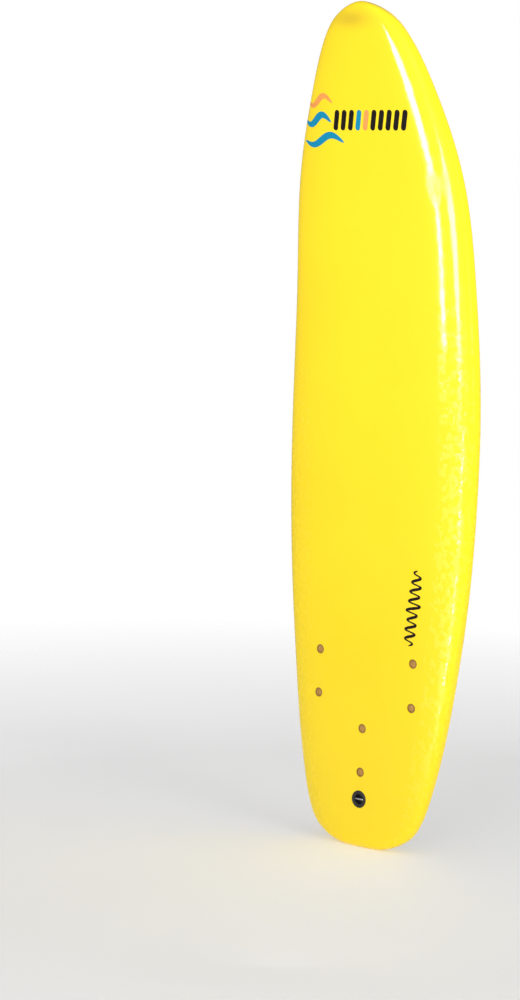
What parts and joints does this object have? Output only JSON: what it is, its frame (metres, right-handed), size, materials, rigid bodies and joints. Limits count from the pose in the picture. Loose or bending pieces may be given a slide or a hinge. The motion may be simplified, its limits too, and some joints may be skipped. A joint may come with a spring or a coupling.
{
  "type": "soft-top surfboard",
  "caption": "Foam soft-top board with a domed deck, rounded nose, squash tail, slick bottom, bolt-through thruster fins and a leash plug in the deck.",
  "frame": {"origin": "centre of the flat tail end, on which the board stands", "axes": "+Z from the tail up to the nose, +X to the right-hand side as seen facing the deck, the deck faces -Y and the fins stand out to +Y"},
  "size_m": [0.497, 0.2525, 1.8286],
  "materials": {
    "deck_film": "yellow closed-cell foam under a clear glossy film, slightly wrinkled at the rails",
    "slick_sheet": "white polyethylene sheet, semi-gloss, lightly mottled",
    "core_foam": "white expanded bead foam",
    "stringer_wood": "plain sawn wood strip",
    "fin_plastic": "black moulded polyethylene, satin",
    "sleeve_plastic": "brown moulded plastic",
    "screw_nylon": "tan nylon",
    "insert_brass": "turned brass",
    "plug_plastic": "black moulded plastic, satin",
    "pin_steel": "stainless steel"
  },
  "bodies": {
    "root": {"tail_skin": "deck_film", "deck_skin": "deck_film", "nose_skin": "deck_film", "slick_bottom": "slick_sheet", "foam_core_centre": "core_foam", "foam_core_left": "core_foam", "foam_core_right": "core_foam", "stringer_left": "stringer_wood", "stringer_right": "stringer_wood", "fin_left": "fin_plastic", "fin_right": "fin_plastic", "fin_centre": "fin_plastic", "fin_sleeve_left_rear": "sleeve_plastic", "fin_sleeve_left_front": "sleeve_plastic", "fin_sleeve_right_rear": "sleeve_plastic", "fin_sleeve_right_front": "sleeve_plastic", "fin_sleeve_centre_rear": "sleeve_plastic", "fin_sleeve_centre_front": "sleeve_plastic", "fin_screw_left_rear": "screw_nylon", "fin_screw_left_front": "screw_nylon", "fin_screw_right_rear": "screw_nylon", "fin_screw_right_front": "screw_nylon", "fin_screw_centre_rear": "screw_nylon", "fin_screw_centre_front": "screw_nylon", "fin_insert_left_rear": "insert_brass", "fin_insert_left_front": "insert_brass", "fin_insert_right_rear": "insert_brass", "fin_insert_right_front": "insert_brass", "fin_insert_centre_rear": "insert_brass", "fin_insert_centre_front": "insert_brass", "leash_plug_cup": "plug_plastic", "leash_plug_pin": "pin_steel", "leash_plug_nut": "plug_plastic"}
  },
  "joints": []
}
